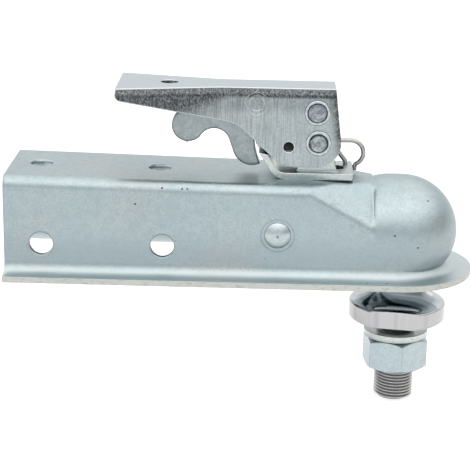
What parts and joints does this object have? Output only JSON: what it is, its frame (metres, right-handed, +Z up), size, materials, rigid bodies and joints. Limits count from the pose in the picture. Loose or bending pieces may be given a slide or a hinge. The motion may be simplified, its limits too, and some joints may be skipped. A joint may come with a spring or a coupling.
{
  "type": "trailer ball coupler",
  "caption": "Pressed steel straight-tongue trailer coupler with a trigger lever latch, clamping its round socket onto a hitch ball with shank, washer and nut.",
  "frame": {"origin": "centre between the top bolt holes, on the channel's top face", "axes": "+X along the channel towards the ball, +Z up out of the top face, +Y across"},
  "size_m": [0.2236, 0.074, 0.1566],
  "materials": {
    "zinc_sheet": "bright zinc plate, satin",
    "zinc_rivet": "zinc-plated rivet steel",
    "zinc_tube": "zinc-plated tube",
    "zinc_fastener": "zinc-plated fastener",
    "chrome_ball": "polished chrome plate",
    "spring_wire": "bright drawn spring wire",
    "jaw_steel": "forged steel, zinc-plated"
  },
  "bodies": {
    "coupler": {"coupler_body": "zinc_sheet", "clamp_rivet": "zinc_rivet", "clamp_spacers": "zinc_tube", "latch_plate": "zinc_sheet", "wire_loop": "spring_wire", "clamp_spring": "spring_wire"},
    "lever": {"handle": "zinc_sheet", "lever_rivets": "zinc_rivet", "link_rivet": "zinc_rivet", "link_spacers": "zinc_tube", "trigger_rivet": "zinc_rivet", "trigger_spacers": "zinc_tube", "trigger_spring": "spring_wire"},
    "trigger": {"trigger": "zinc_sheet"},
    "link": {"latch_link": "zinc_fastener", "link_washer": "zinc_fastener", "link_nut": "zinc_fastener"},
    "jaw": {"ball_clamp": "jaw_steel"},
    "ball": {"hitch_ball": "chrome_ball"},
    "shank_nut": {"hex_nut": "zinc_fastener", "lock_washer": "zinc_fastener"}
  },
  "joints": [
    {"name": "lever_hinge", "type": "hinge", "parent": "coupler", "child": "lever", "pos_m": [0.1041, 0, 0.0163], "axis": [0, 1, 0], "range_deg": [0, 75]},
    {"name": "trigger_hinge", "type": "hinge", "parent": "lever", "child": "trigger", "pos_m": [0.0748, 0, 0.0347], "axis": [0, 1, 0], "range_deg": [0, 15], "stiffness_Nm_per_rad": 0.3, "springref_deg": -20.05},
    {"name": "link_hinge", "type": "hinge", "parent": "lever", "child": "link", "pos_m": [0.1032, 0, 0.0308], "axis": [0, 1, 0], "range_deg": [-60, 0]},
    {"name": "jaw_hinge", "type": "hinge", "parent": "coupler", "child": "jaw", "pos_m": [0.0859, 0, -0.0252], "axis": [0, 1, 0], "range_deg": [0, 15.6], "deforming": ["clamp_spring"]},
    {"name": "ball_swivel", "type": "hinge", "parent": "coupler", "child": "ball", "pos_m": [0.1458, 0, -0.0285], "axis": [0, 0, 1], "continuous": true},
    {"name": "nut_travel", "type": "slide", "parent": "ball", "child": "shank_nut", "axis": [0, 0, 1], "range_m": [-0.016, 0.0055]}
  ],
  "couplings": [
    {"joint": "link_hinge", "follows": "lever_hinge", "ratio": -0.795},
    {"joint": "jaw_hinge", "follows": "lever_hinge", "ratio": 0.2067}
  ]
}
